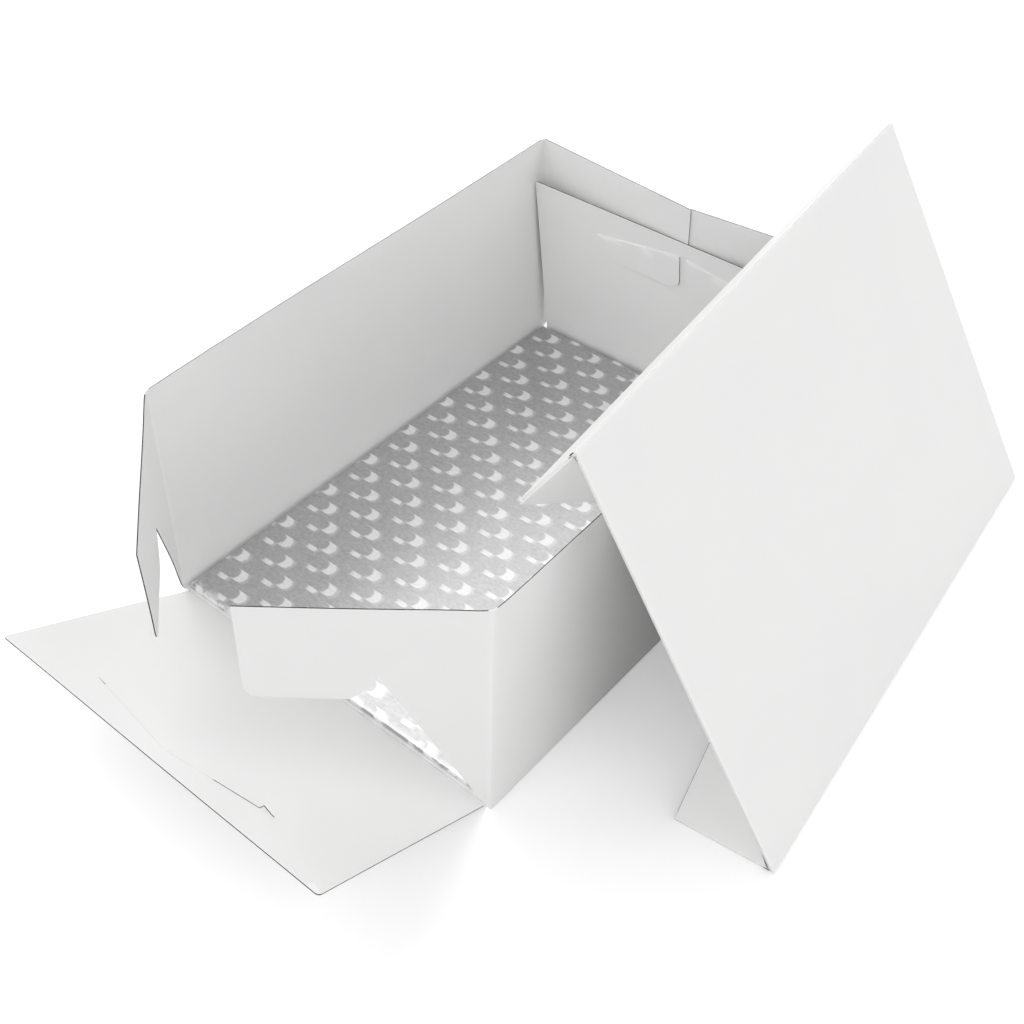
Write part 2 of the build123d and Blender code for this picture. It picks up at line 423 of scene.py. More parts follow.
@dataclass(frozen=True)
class Camera:
    """The photograph's camera, in metres.

    Attributes:
        place: Where it stands.
        right: Its right-hand direction.
        down: Its downward direction.
        focal: Focal length in pixels.
        centre: Pixel that it looks straight at.
        frame: Width of the picture in pixels.
        sensor: Width of the sensor in millimetres.
        near: Nearest distance that it shows.
        far: Furthest distance that it shows.
    """

    place: tuple[float, float, float] = (0.43980, -0.51807, 0.66356)
    right: tuple[float, float, float] = (0.75656, 0.65356, -0.02193)
    down: tuple[float, float, float] = (0.40241, -0.49174, -0.77217)
    focal: float = 1473.7
    centre: tuple[float, float] = (490.0, 400.0)
    frame: float = 1024.0
    sensor: float = 36.0
    near: float = 0.01
    far: float = 50.0


TOOTH = PaperTooth()
BOARD = BoardFinish()
FOIL = FoilFinish()
CORE = CoreFinish()
PAPER = PaperFinish()
FLOOR = FloorFinish()

HALF_CARD = 0.3 * MM
WELD = 0.002 * MM  # vertices nearer than this are one
CUT_REACH = 0.003 * MM  # a cut takes the vertices that lie this near to it
FLAT_ANGLE = math.radians(0.25)  # faces that turn by less are one
SHEET_SHARP = math.radians(18)  # a sheet's edges look sharp from this turn on
RIDGE_SHARP = math.radians(50)  # the same for a ridge
FOIL_SHARP = math.radians(40)  # the same for the foil
CORNER_ANGLE = math.radians(60)  # an edge that turns by more is a corner

GRID = 9 * MM  # spacing of the rows that a sheet's waves need
FOLD_STEPS = (0.5 * MM, 1.2 * MM, 2.2 * MM, 3.6 * MM)  # finer rows beside a fold
NEAR_FOLD = 1.9 * MM  # a sheet's border this near to a fold belongs to it
TOUCH_REACH = 1.6 * MM  # a sheet this near to a fold hangs on it
TOUCH_MARKS = (0.2, 0.5, 0.8)  # the places along a fold where a sheet is looked for
FAR = 1.0  # distance from the nearest fold of a sheet that has none
FOLD_WIDTH = 1.6 * MM  # the painted highlight along a fold fades over this width
HINGE_REACH = 2.5 * MM  # a hinged sheet's border lies this near to its axis
DRAWN = 0.9  # share of the gap beside a fold that is closed
WAVE_SCALE = 9.0  # waves in a metre

ROLL_RADIUS = 0.3 * MM  # radius of a ridge
RIDGE_SIDES = 20
RIDGE_BEVEL = 0.12 * MM
EDGE_BEVEL = 0.26 * MM  # rounding of the card's cut edges
SHORT_EDGE = 0.4 * MM  # a shorter edge isn't rounded
SIDE_LEAN = 0.5  # a face on the card's cut side faces outwards by less than this
FACE_LEAN = 0.8  # a face of the sheet itself faces outwards by more than this
PLATE_LEAN = 0.9  # a face that counts for the sheet's direction does so by more


class Shader:
    """Builds one material's nodes in few words.

    Attributes:
        tree: The node tree.
        nodes: Its nodes.
        column: Where the next node stands in the editor.
    """

    def __init__(self, tree: bpy.types.NodeTree) -> None:
        """Starts on a node tree.

        Args:
            tree: The node tree to build in.
        """
        self.tree = tree
        self.nodes = tree.nodes
        self.column = 0

    def add(self, kind: str, **settings: object) -> bpy.types.Node:
        """Adds a node.

        Args:
            kind: The node's type.
            **settings: Its properties.

        Returns:
            The node.
        """
        node = self.nodes.new(kind)
        node.location = (self.column, 0)
        self.column += NODE_SPACING
        for key, value in settings.items():
            setattr(node, key, value)
        return node

    def link(self, source: Value, target: Socket) -> None:
        """Links two sockets, or sets the target to a plain value.

        Args:
            source: A socket, a number or a colour.
            target: The input socket.
        """
        if isinstance(source, Socket):
            self.tree.links.new(source, target)
        else:
            target.default_value = source

    def coords(self) -> Socket:
        """The piece's own coordinates."""
        return self.add("ShaderNodeTexCoord").outputs["Object"]

    def attribute(self, name: str) -> Socket:
        """A number that the piece's mesh carries."""
        return self.add("ShaderNodeAttribute", attribute_name=name).outputs["Fac"]

    def math(self, operation: str, *values: Value) -> Socket:
        """Adds a Math node.

        Args:
            operation: What it works out.
            *values: Its inputs.

        Returns:
            Its output.
        """
        node = self.add("ShaderNodeMath", operation=operation)
        for value, socket in zip(values, node.inputs):
            self.link(value, socket)
        return node.outputs[0]

    def mix(self, factor: Value, first: Value, second: Value) -> Socket:
        """Mixes two colours.

        Args:
            factor: Share of the second colour.
            first: The first colour.
            second: The second colour.

        Returns:
            The mixed colour.
        """
        node = self.add("ShaderNodeMix", data_type="RGBA")
        self.link(factor, node.inputs[0])
        self.link(first, node.inputs[6])
        self.link(second, node.inputs[7])
        return node.outputs[2]

    def noise(self, vector: Socket, grain: Grain) -> Socket:
        """Adds a noise pattern.

        Args:
            vector: Its coordinates.
            grain: Its look.

        Returns:
            A value from 0 to 1.
        """
        node = self.add("ShaderNodeTexNoise")
        self.link(vector, node.inputs["Vector"])
        node.inputs["Scale"].default_value = grain.scale
        node.inputs["Detail"].default_value = grain.detail
        node.inputs["Roughness"].default_value = grain.roughness
        return node.outputs["Fac"]

    def between(self, value: Value, low: float, high: float) -> Socket:
        """Adds a smooth step.

        Args:
            value: A number.
            low: Where the step is 0.
            high: Where it is 1.

        Returns:
            The step.
        """
        node = self.add("ShaderNodeMapRange", interpolation_type="SMOOTHSTEP")
        self.link(value, node.inputs[0])
        node.inputs[1].default_value = low
        node.inputs[2].default_value = high
        return node.outputs[0]

    def bump(
        self, height: Socket, distance: float, strength: float,
        normal: Socket | None = None,
    ) -> Socket:
        """Adds a relief.

        Args:
            height: Its height, from 0 to 1.
            distance: Its depth.
            strength: How strongly it tilts the light.
            normal: The relief that it lies on.

        Returns:
            The tilted normal.
        """
        node = self.add("ShaderNodeBump")
        node.inputs["Strength"].default_value = strength
        node.inputs["Distance"].default_value = distance
        self.link(height, node.inputs["Height"])
        if normal is not None:
            self.link(normal, node.inputs["Normal"])
        return node.outputs[0]

    def group(
        self, tree: bpy.types.NodeTree, vector: Socket
    ) -> bpy.types.NodeOutputs:
        """Uses a node group.

        Args:
            tree: The group.
            vector: Its coordinates.

        Returns:
            Its outputs.
        """
        node = self.add("ShaderNodeGroup", node_tree=tree)
        self.link(vector, node.inputs["Vector"])
        return node.outputs


def new_group(
    name: str, outputs: dict[str, str]
) -> tuple[bpy.types.NodeTree, Shader, Socket, bpy.types.NodeInputs]:
    """Makes an empty node group that reads coordinates.

    Args:
        name: Its name.
        outputs: The socket type of each output, by its name.

    Returns:
        The group, its Shader, its coordinates and the sockets of its outputs.
    """
    group = bpy.data.node_groups.new(name, "ShaderNodeTree")
    group.interface.new_socket("Vector", in_out="INPUT", socket_type="NodeSocketVector")
    for label, kind in outputs.items():
        group.interface.new_socket(label, in_out="OUTPUT", socket_type=kind)
    shader = Shader(group)
    given, out = shader.add("NodeGroupInput"), shader.add("NodeGroupOutput")
    return group, shader, given.outputs["Vector"], out.inputs


def new_material(
    name: str,
) -> tuple[bpy.types.Material, Shader, bpy.types.NodeInputs]:
    """Makes a material.

    Args:
        name: Its name.

    Returns:
        The material, its Shader and the sockets of its surface.
    """
    material = bpy.data.materials.new(name)
    material.use_nodes = True
    surface = material.node_tree.nodes["Principled BSDF"]
    return material, Shader(material.node_tree), surface.inputs


def paper_grain_group(tooth: PaperTooth) -> bpy.types.NodeTree:
    """The fine fibre and soft mottling that all the papers share.

    Args:
        tooth: The papers' grain.

    Returns:
        A node group that puts out a mottling mask and a bumped normal.
    """
    group, s, vector, out = new_group(
        "paper_grain", {"Mottle": "NodeSocketFloat", "Normal": "NodeSocketVector"},
    )
    fibre = s.math("MULTIPLY", s.noise(vector, tooth.fibre), tooth.fibre_share)
    rough = s.math("MULTIPLY", s.noise(vector, tooth.tooth), tooth.tooth_share)
    height = s.math("ADD", fibre, rough)
    s.link(s.noise(vector, tooth.mottle), out["Mottle"])
    s.link(s.bump(height, tooth.depth, tooth.strength), out["Normal"])
    return group


def crescent_light(
    s: Shader, x: Socket, y: Socket, kind: Crescent, finish: FoilFinish
) -> tuple[Socket, Socket]:
    """The painted highlight of one kind of crescent.

    Args:
        s: The shader to build in.
        x: Place along the row, from the crescent's own place.
        y: Place across the row.
        kind: The kind of crescent.
        finish: The foil.

    Returns:
        Its brightness, and the distance from its outer arc.
    """
    across = s.math("MULTIPLY", y, y)
    ahead = s.math("MAXIMUM", s.math("SUBTRACT", x, kind.outer_ahead), 0.0)
    out = s.math("MULTIPLY_ADD", ahead, ahead, across)
    out = s.math("SUBTRACT", s.math("SQRT", out), kind.outer)
    back = s.math("ADD", x, kind.inner_back)
    inside = s.math("MULTIPLY_ADD", back, back, across)
    inside = s.math("SUBTRACT", s.math("SQRT", inside), kind.inner)
    outer = s.between(out, finish.outer_soft, -finish.outer_soft)
    body = s.math("MULTIPLY", outer, s.between(inside, *finish.inner_span))
    horn = s.math("MULTIPLY_ADD", y, finish.horn_lean, x)
    body = s.math("MULTIPLY", body, s.between(horn, kind.horn_start, kind.horn_end))
    halo = s.between(out, finish.halo, 0.0)
    halo = s.math("MULTIPLY", halo, s.between(out, *finish.halo_span))
    halo = s.math("MULTIPLY", halo, s.between(ahead, *finish.halo_ahead))
    rings = s.math("SINE", s.math("MULTIPLY", out, 2 * math.pi / finish.ring))
    level = s.math("MULTIPLY_ADD", rings, finish.halo_ripple, finish.halo_level)
    halo = s.math("MULTIPLY", halo, level)
    level = s.math("MULTIPLY_ADD", rings, finish.ripple, 1.0 - finish.ripple)
    body = s.math("MULTIPLY", body, level)
    return s.math("MAXIMUM", body, halo), out


def swirl_group(finish: FoilFinish) -> bpy.types.NodeTree:
    """The engine-turned pattern of the foil, its crescents painted as highlights.

    Each row shows a strip of large crescents, and between two rows a thin strip shows
    the small ones.

    Args:
        finish: The foil.

    Returns:
        A node group from coordinates to the brightness of its painted highlight and a
        groove height.
    """
    group, s, vector, out = new_group(
        "engine_turning_painted_highlight", {"Bright": "NodeSocketFloat", "Groove": "NodeSocketFloat"},
    )
    place = s.add("ShaderNodeMapping", vector_type="TEXTURE")
    s.link(vector, place.inputs["Vector"])
    place.inputs["Location"].default_value = (
        finish.start[0] * MM, finish.start[1] * MM, 0.0,
    )
    place.inputs["Rotation"].default_value = (0.0, 0.0, math.radians(finish.tilt))
    place.inputs["Scale"].default_value = (MM, MM, MM)
    wobble = s.noise(place.outputs[0], finish.wobble)
    wobble = s.math(
        "MULTIPLY_ADD", wobble, finish.wobble_reach, -finish.wobble_reach / 2,
    )
    split = s.add("ShaderNodeSeparateXYZ")
    s.link(place.outputs[0], split.inputs[0])
    x = s.math("ADD", split.outputs[0], wobble)
    y = split.outputs[1]

    def strip(
        offset: tuple[float, float], kind: Crescent
    ) -> tuple[Socket, Socket, Socket]:
        """One family of strips.

        Args:
            offset: Place of one of its crescents.
            kind: Its crescents.

        Returns:
            Its brightness, the distance from its arcs, and the mask of its strips.
        """
        across = s.math("SUBTRACT", y, offset[1])
        row = s.math("ROUND", s.math("DIVIDE", across, -finish.row))
        local_y = s.math("MULTIPLY_ADD", row, finish.row, across)
        along = s.math("SUBTRACT", x, offset[0])
        along = s.math("MULTIPLY_ADD", row, -finish.shift, along)
        wrap_from = finish.pitch * finish.wrap_from
        local_x = s.math("WRAP", along, wrap_from + finish.pitch, wrap_from)
        light, arc = crescent_light(s, local_x, local_y, kind, finish)
        away = s.math("ABSOLUTE", local_y)
        soft = finish.strip_soft
        return light, arc, s.between(away, kind.half + soft, kind.half - soft)

    def pick(mask: Socket, first: Socket, second: Socket) -> Socket:
        """Picks one of two numbers.

        Args:
            mask: Where the second one counts.
            first: The first number.
            second: The second number.

        Returns:
            The number that counts.
        """
        node = s.add("ShaderNodeMix", data_type="FLOAT")
        s.link(mask, node.inputs[0])
        s.link(first, node.inputs[2])
        s.link(second, node.inputs[3])
        return node.outputs[0]

    large, large_arc, mask = strip((0.0, 0.0), finish.large)
    small, small_arc, _ = strip(finish.small_place, finish.small)
    s.link(pick(mask, small, large), out["Bright"])
    arc = pick(mask, small_arc, large_arc)
    groove = s.math("SINE", s.math("MULTIPLY", arc, 2 * math.pi / finish.ring))
    s.link(groove, out["Groove"])
    return group


@dataclass
class Materials:
    """All the finishes of the object.

    Attributes:
        board: The coated card.
        edge: Its cut edge, its grey core darkened with painted shade.
        foil: The cake board's foil.
        core: Its grey board.
        paper: Its backing paper.
    """

    board: bpy.types.Material
    edge: bpy.types.Material
    foil: bpy.types.Material
    core: bpy.types.Material
    paper: bpy.types.Material


def board_material(grain: bpy.types.NodeTree, board: BoardFinish) -> bpy.types.Material:
    """White coated card, with a painted highlight along its folds.

    Args:
        grain: The paper grain group.
        board: The card.

    Returns:
        The material.
    """
    material, s, surface = new_material("coated_boxboard")
    coords = s.coords()
    paper = s.group(grain, coords)
    mottle = s.between(paper["Mottle"], *board.cloud_span)
    mottle = s.math("MULTIPLY", mottle, board.cloud_share)
    colour = s.mix(mottle, board.light, board.cloud)
    scuff = s.between(s.noise(coords, board.scuff_grain), *board.scuff_span)
    colour = s.mix(s.math("MULTIPLY", scuff, board.scuff_share), colour, board.scuff)
    # painted highlight: the colour turns paler near each fold
    fold = s.math("MULTIPLY", s.attribute(FOLD), board.fold_highlight_share)
    s.link(s.mix(fold, colour, board.folded), surface["Base Color"])
    rough = s.math("MULTIPLY_ADD", paper["Mottle"], board.rough_range, board.roughness)
    s.link(rough, surface["Roughness"])
    s.link(paper["Normal"], surface["Normal"])
    surface["Specular IOR Level"].default_value = board.specular
    return material


def raw_edge_and_shade_material(grain: bpy.types.NodeTree, board: BoardFinish) -> bpy.types.Material:
    """The grey core of the card where it is cut, darkened to near black with painted
    shade.

    Args:
        grain: The paper grain group.
        board: The card.

    Returns:
        The material.
    """
    material, s, surface = new_material("cut_edge_painted_shade")
    coords = s.coords()
    paper = s.group(grain, coords)
    fibres = s.between(s.noise(coords, board.edge_grain), *board.edge_span)
    # painted shade: the cut edge is near black, darker than its grey core
    s.link(s.mix(fibres, board.edge, board.edge_pale), surface["Base Color"])
    s.link(paper["Normal"], surface["Normal"])
    surface["Roughness"].default_value = board.edge_roughness
    surface["Specular IOR Level"].default_value = board.edge_specular
    return material


def foil_material(grain: bpy.types.NodeTree, foil: FoilFinish) -> bpy.types.Material:
    """Silver foil with its swirls painted as highlights, crumpled where it is turned over
    the front edge, with painted glints on the crumples.

    Args:
        grain: The paper grain group.
        foil: The foil.

    Returns:
        The material.
    """
    material, s, surface = new_material("swirl_foil")
    coords = s.coords()
    swirl = s.group(swirl_group(foil), coords)
    paper = s.group(grain, coords)
    rim = s.attribute(RIM)
    brushed = s.add("ShaderNodeMapping")
    s.link(coords, brushed.inputs["Vector"])
    brushed.inputs["Scale"].default_value = foil.brush_scale
    strokes = s.noise(brushed.outputs[0], foil.brush)
    crumple = s.noise(coords, foil.crumple)
    grained = s.math("ADD", s.noise(coords, foil.clouds), strokes)
    grained = s.math("MULTIPLY", grained, 0.5)
    dull = s.mix(s.between(grained, *foil.dull_span), foil.dull, foil.dull_pale)
    highlight_streaks = s.between(strokes, *foil.highlight_streak_span)
    highlight_streaks = s.math("MULTIPLY_ADD", highlight_streaks, foil.highlight_streak_share, 1.0 - foil.highlight_streak_share)
    # painted highlight: the swirls' bright crescents, streaked by the brushed grain
    bright = s.math("MULTIPLY", swirl["Bright"], highlight_streaks)
    # painted glints on the crumpled front border
    crumple_glint = s.math("MULTIPLY", rim, s.between(crumple, *foil.crumple_span))
    crumple_glint = s.math("MULTIPLY", crumple_glint, foil.crumple_share)
    bright = s.math("MAXIMUM", bright, crumple_glint)
    s.link(s.mix(bright, dull, foil.bright), surface["Base Color"])
    # the painted highlights are less metallic, so they show bright in any light
    s.link(s.math("MULTIPLY_ADD", bright, -foil.diffuse, 1.0), surface["Metallic"])
    rough = s.math("MULTIPLY_ADD", strokes, foil.rough_range, foil.roughness)
    s.link(rough, surface["Roughness"])
    fine = s.bump(
        swirl["Groove"], foil.groove_depth, foil.groove_strength, paper["Normal"],
    )
    folded = s.bump(
        s.math("MULTIPLY", crumple, rim), foil.crumple_depth, foil.crumple_strength, fine,
    )
    s.link(folded, surface["Normal"])
    return material


def core_material(grain: bpy.types.NodeTree, core: CoreFinish) -> bpy.types.Material:
    """The cake board's grey board.

    Args:
        grain: The paper grain group.
        core: The grey board.

    Returns:
        The material.
    """
    material, s, surface = new_material("grey_board_core")
    coords = s.coords()
    paper = s.group(grain, coords)
    flecks = s.between(s.noise(coords, core.grain), *core.span)
    s.link(s.mix(flecks, core.light, core.fleck), surface["Base Color"])
    s.link(paper["Normal"], surface["Normal"])
    surface["Roughness"].default_value = core.roughness
    return material


def paper_material(grain: bpy.types.NodeTree, backing: PaperFinish) -> bpy.types.Material:
    """The white paper on the board's underside.

    Args:
        grain: The paper grain group.
        backing: The backing paper.

    Returns:
        The material.
    """
    material, s, surface = new_material("backing_paper")
    paper = s.group(grain, s.coords())
    colour = s.mix(paper["Mottle"], backing.light, backing.cloud)
    s.link(colour, surface["Base Color"])
    s.link(paper["Normal"], surface["Normal"])
    surface["Roughness"].default_value = backing.roughness
    return material


def make_materials() -> Materials:
    """Makes every finish of the object.

    Returns:
        The finishes.
    """
    grain = paper_grain_group(TOOTH)
    return Materials(
        board=board_material(grain, BOARD),
        edge=raw_edge_and_shade_material(grain, BOARD),
        foil=foil_material(grain, FOIL),
        core=core_material(grain, CORE),
        paper=paper_material(grain, PAPER),
    )


def mesh_object(
    name: str, mesh: bmesh.types.BMesh, materials: list[bpy.types.Material]
) -> bpy.types.Object:
    """Turns a bmesh into an object.

    Args:
        name: Its name.
        mesh: The bmesh, which is freed.
        materials: Its material slots.

    Returns:
        The object.
    """
    data = bpy.data.meshes.new(name)
    mesh.to_mesh(data)
    mesh.free()
    for material in materials:
        data.materials.append(material)
    piece = bpy.data.objects.new(name, data)
    bpy.context.scene.collection.objects.link(piece)
    return piece


def settle(piece: bpy.types.Object, body: str, slot: Slot, *nodes: str) -> None:
    """Puts a piece on its body.

    Args:
        piece: The object.
        body: The CAD body it rides on.
        slot: The finish it takes; not used.
        nodes: The CAD nodes it stands for.
    """
    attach(piece, body)
    if nodes:
        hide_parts(*nodes)
    log.info("%s rides on %s", piece.name, body)


def near_face(point: Vector, face: bmesh.types.BMFace, reach: float) -> bool:
    """Whether a point lies near a flat face.

    Args:
        point: The place.
        face: The face.
        reach: How near is near.

    Returns:
        True if it does.
    """
    if abs((point - face.verts[0].co).dot(face.normal)) > reach:
        return False
    corners = [v.co for v in face.verts]
    for here, after in zip(corners, corners[1:] + corners[:1]):
        outward = (after - here).cross(face.normal)
        if outward.length and (point - here).dot(outward.normalized()) > reach:
            return False
    return True


class Sheet:
    """One sheet of card, dressed over its CAD node.

    Attributes:
        node: The CAD node.
        bow: How the sheet departs from flat.
        mesh: Its mesh.
        centre: Its middle.
        axes: Its long, short and outward directions.
        creases: The folds that it hangs on.
    """

    def __init__(self, node: str, creases: list[Crease], bow: Bow, inside: Vector) -> None:
        """Copies the node's mesh.

        Args:
            node: The CAD node.
            creases: All the folds of the object.
            bow: How the sheet departs from flat.
            inside: A place on the sheet's inner side.
        """
        self.node = node
        self.bow = bow
        self.mesh = bmesh.new()
        self.mesh.from_mesh(frame["nodes"][node].data)
        bmesh.ops.remove_doubles(self.mesh, verts=self.mesh.verts, dist=WELD)
        self.centre, self.axes = self.plate_axes(inside)
        self.creases = [c for c in creases if self.touches(c)]
        bmesh.ops.dissolve_limit(
            self.mesh, angle_limit=FLAT_ANGLE,
            verts=self.mesh.verts, edges=self.mesh.edges,
        )

    def plate_axes(self, inside: Vector) -> tuple[Vector, tuple[Vector, ...]]:
        """Finds the plate's directions.

        Args:
            inside: A place on its inner side.

        Returns:
            Its centre, and its long, short and outward directions.
        """
        reference = max(self.mesh.faces, key=lambda f: f.calc_area()).normal
        thin, centre, total = Vector(), Vector(), 0.0
        for face in self.mesh.faces:
            area = face.calc_area()
            lean = face.normal.dot(reference)
            if abs(lean) > PLATE_LEAN:
                thin += face.normal * math.copysign(area, lean)
            centre += face.calc_center_median() * area
            total += area
        thin.normalize()
        centre /= total
        if thin.dot(centre - inside) < 0:
            thin = -thin
        longest = max(self.mesh.edges, key=lambda e: e.calc_length())
        along = longest.verts[1].co - longest.verts[0].co
        along = (along - thin * along.dot(thin)).normalized()
        return centre, (along, thin.cross(along), thin)

    def touches(self, crease: Crease) -> bool:
        """Whether a fold runs along this sheet.

        Args:
            crease: The fold.

        Returns:
            True if it does.
        """
        marks = [crease.start.lerp(crease.end, share) for share in TOUCH_MARKS]
        faces = list(self.mesh.faces)
        return all(any(near_face(mark, f, TOUCH_REACH) for f in faces) for mark in marks)

    def fold_distance(self, point: Vector) -> float:
        """How far a point is from the nearest fold of the sheet."""
        return min((c.distance(point) for c in self.creases), default=FAR)

    def round_edges(self) -> None:
        """Rounds the cut edges of the card."""
        raw = []
        for edge in self.mesh.edges:
            middle = (edge.verts[0].co + edge.verts[1].co) / 2
            if len(edge.link_faces) != 2 or self.fold_distance(middle) < NEAR_FOLD:
                continue
            flat = sorted(abs(f.normal.dot(self.axes[2])) for f in edge.link_faces)
            on_rim = flat[0] < SIDE_LEAN and flat[1] > FACE_LEAN
            if on_rim and edge.calc_length() > SHORT_EDGE:
                raw.append(edge)
        bmesh.ops.bevel(
            self.mesh, geom=raw, offset=EDGE_BEVEL, segments=2, profile=0.5,
            affect="EDGES", material=-1, clamp_overlap=True,
        )

    def cut(self, point: Vector, normal: Vector) -> None:
        """Cuts the mesh along a plane.

        Args:
            point: A place on the plane.
            normal: The plane's direction.
        """
        parts = self.mesh.verts[:] + self.mesh.edges[:] + self.mesh.faces[:]
        bmesh.ops.bisect_plane(
            self.mesh, geom=parts, dist=CUT_REACH, plane_co=point, plane_no=normal,
        )

    def subdivide(self) -> None:
        """Gives the sheet a grid, and finer rows beside its folds."""
        for axis in self.axes[:2]:
            places = [(v.co - self.centre).dot(axis) for v in self.mesh.verts]
            low, high = min(places), max(places)
            count = max(1, round((high - low) / GRID))
            for i in range(1, count):
                step = low + (high - low) * i / count
                self.cut(self.centre + axis * step, axis)
        for crease in self.creases:
            across = crease.along().cross(self.axes[2]).normalized()
            share = self.bow.reach / FOLD_STEPS[-1]
            for step in FOLD_STEPS:
                for side in (-1, 1):
                    self.cut(crease.start + across * step * share * side, across)

    def close_folds(self) -> None:
        """Draws the sheet's border up to the ridge of each fold."""
        for crease in self.creases:
            across = crease.along().cross(self.axes[2]).normalized()
            for vert in self.mesh.verts:
                gap = (vert.co - crease.foot(vert.co)).dot(across)
                if crease.distance(vert.co) < NEAR_FOLD:
                    vert.co -= across * gap * DRAWN

    def roll_at(self, point: Vector) -> float:
        """How far the sheet stands out over its folds.

        Args:
            point: A place on the flat sheet.

        Returns:
            The height there.
        """
        share = 1.0
        for crease in self.creases:
            share *= 1 - max(0.0, 1 - crease.distance(point) / self.bow.reach) ** 2
        return self.bow.roll * share

    def wave_at(self, point: Vector) -> float:
        """How far the sheet's gentle waves lift it.

        Args:
            point: A place on the flat sheet.

        Returns:
            The height there.
        """
        share = min(1.0, self.fold_distance(point) / self.bow.hold)
        share = share * share * (3 - 2 * share)
        ripple = noise.noise(point * WAVE_SCALE + Vector((0, 0, len(self.node))))
        return self.bow.wave * ripple * share

    def bend(self) -> None:
        """Rolls the sheet down to its folds, and gives it gentle waves."""
        for vert in self.mesh.verts:
            vert.co += self.axes[2] * (self.roll_at(vert.co) + self.wave_at(vert.co))

    def paint(self, pale: Callable[[Vector], bool]) -> None:
        """Marks the cut edges, and how near each vertex is to a fold.

        Args:
            pale: Whether a place on a cut edge is pressed shut, so its core is hidden.
        """
        for face in self.mesh.faces:
            raw = abs(face.normal.dot(self.axes[2])) < self.bow.cut_lean
            far = self.fold_distance(face.calc_center_median()) > NEAR_FOLD
            shut = pale(face.calc_center_median())
            # cut edges take the edge material: grey core darkened with painted shade
            face.material_index = 1 if raw and far and not shut else 0
            face.smooth = True
        # nearness to a fold, which sets the painted highlight along it
        layer = self.mesh.verts.layers.float.new(FOLD)
        for vert in self.mesh.verts:
            distance = self.fold_distance(vert.co)
            vert[layer] = math.exp(-((distance / FOLD_WIDTH) ** 2))

    def finish(
        self,
        materials: Materials,
        shape: Callable[[Vector], Vector] | None = None,
        pale: Callable[[Vector], bool] = lambda point: False,
    ) -> bpy.types.Object:
        """Makes the object.

        Args:
            materials: The finishes.
            shape: Moves a point of the sheet, if the sheet needs it.
            pale: Whether a place on a cut edge is pressed shut.

        Returns:
            The object.
        """
        self.close_folds()
        self.round_edges()
        self.subdivide()
        self.paint(pale)
        if shape:
            for vert in self.mesh.verts:
                vert.co = shape(vert.co)
        self.bend()
        wide = [f for f in self.mesh.faces if len(f.verts) > 4]
        bmesh.ops.triangulate(self.mesh, faces=wide)
        body = frame["nodes"][self.node]["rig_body"]
        piece = mesh_object(
            self.node + "_sheet", self.mesh, [materials.board, materials.edge],
        )
        piece.data.set_sharp_from_angle(angle=SHEET_SHARP)
        settle(piece, body, Slot.BOARD, self.node)
        return piece


def ridge(name: str, crease: Crease, node: str, materials: Materials) -> bpy.types.Object:
    """The rounded ridge of a fold.

    Args:
        name: The piece's name.
        crease: The fold it runs along.
        node: The CAD node whose body it rides on.
        materials: The finishes.

    Returns:
        The object.
    """
    mesh = bmesh.new()
    turn = crease.along().to_track_quat("Z", "Y").to_matrix().to_4x4()
    bmesh.ops.create_cone(
        mesh, cap_ends=True, segments=RIDGE_SIDES,
        radius1=ROLL_RADIUS, radius2=ROLL_RADIUS,
        depth=(crease.end - crease.start).length,
        matrix=Matrix.Translation((crease.start + crease.end) / 2) @ turn,
    )
    ends = [e for e in mesh.edges if e.calc_face_angle(0.0) > CORNER_ANGLE]
    bmesh.ops.bevel(
        mesh, geom=ends, offset=RIDGE_BEVEL, segments=2, profile=0.5,
        affect="EDGES", material=-1,
    )
    # the whole ridge takes the full painted highlight of a fold
    layer = mesh.verts.layers.float.new(FOLD)
    for vert in mesh.verts:
        vert[layer] = 1.0
    for face in mesh.faces:
        face.smooth = True
    piece = mesh_object(name, mesh, [materials.board])
    piece.data.set_sharp_from_angle(angle=RIDGE_SHARP)
    settle(piece, frame["nodes"][node]["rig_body"], Slot.BOARD)
    return piece


def joint_crease(joint_name: str, node: str) -> Crease:
    """The fold that a hinge stands for, as long as the node it carries.

    Args:
        joint_name: The joint.
        node: The CAD node whose extent along the axis sets the fold's ends.

    Returns:
        The fold.
    """
    joint = next(j for j in frame["joints"] if j["name"] == joint_name)
    point, along = Vector(joint["pos_m"]), Vector(joint["axis"]).normalized()
    near = [
        (v.co - point).dot(along)
        for v in frame["nodes"][node].data.vertices
        if (v.co - point).cross(along).length < HINGE_REACH
    ]
    return Crease(point + along * min(near), point + along * max(near))


